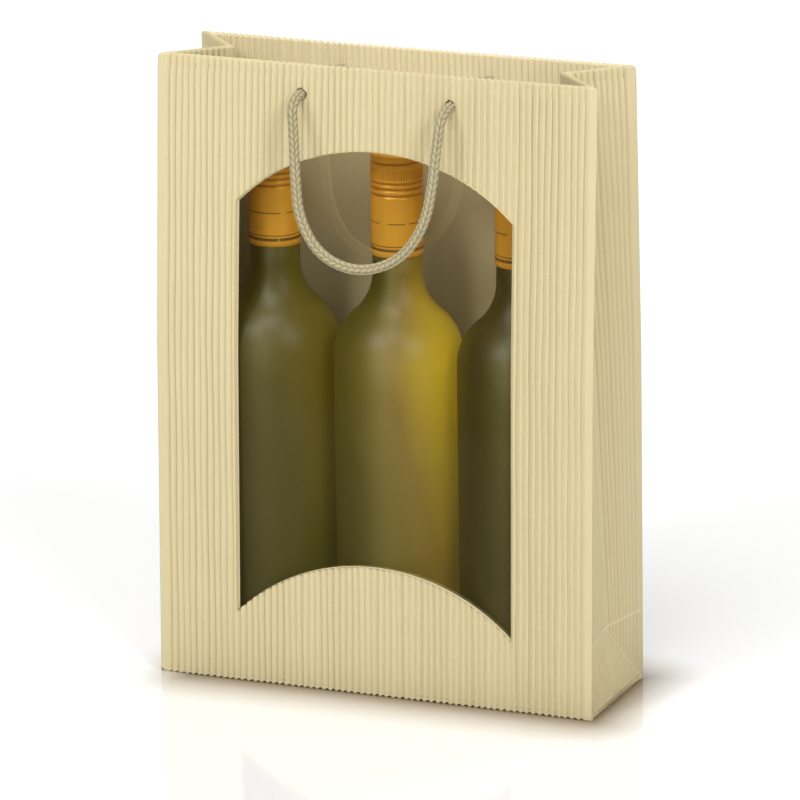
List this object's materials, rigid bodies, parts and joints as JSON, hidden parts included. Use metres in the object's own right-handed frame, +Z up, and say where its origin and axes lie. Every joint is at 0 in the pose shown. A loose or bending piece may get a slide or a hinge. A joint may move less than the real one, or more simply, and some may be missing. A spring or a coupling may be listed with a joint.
{
  "type": "three-bottle window carrier bag of fluted board",
  "caption": "Upright carrier bag of open fluted board with pinched gussets, an arched film window and cord handles, holding a row of screw-cap wine bottles.",
  "frame": {"origin": "middle of the bag's footprint on the surface it stands on", "axes": "+X to the right seen from the window side, -Y out of the window, +Z up"},
  "size_m": [0.27, 0.1157, 0.37],
  "materials": {
    "board": "fluted straw board",
    "film": "clear film",
    "card": "plain grey board",
    "cord": "braided natural cotton",
    "bottle_glass": "frosted olive green",
    "wine": "pale wine",
    "cap": "satin gold lacquer",
    "seal": "matt"
  },
  "bodies": {
    "bag": {"bag_board": "board", "window_film": "film", "base_card": "card", "front_knot_left": "cord", "front_knot_right": "cord", "back_knot_left": "cord", "back_knot_right": "cord", "bottle_left": "bottle_glass", "bottle_middle": "bottle_glass", "bottle_right": "bottle_glass", "wine_left": "wine", "wine_middle": "wine", "wine_right": "wine", "cap_left": "cap", "cap_middle": "cap", "cap_right": "cap", "cap_seal_left": "seal", "cap_seal_middle": "seal", "cap_seal_right": "seal"},
    "front_handle": {"front_cord": "cord"},
    "back_handle": {"back_cord": "cord"}
  },
  "joints": [
    {"name": "front_handle_swing", "type": "hinge", "parent": "bag", "child": "front_handle", "pos_m": [0, -0.04, 0.352], "axis": [-1, 0, 0], "range_deg": [0, 170], "deforming": ["front_cord"]},
    {"name": "back_handle_swing", "type": "hinge", "parent": "bag", "child": "back_handle", "pos_m": [0, 0.04, 0.352], "axis": [1, 0, 0], "range_deg": [0, 170], "deforming": ["back_cord"]}
  ]
}
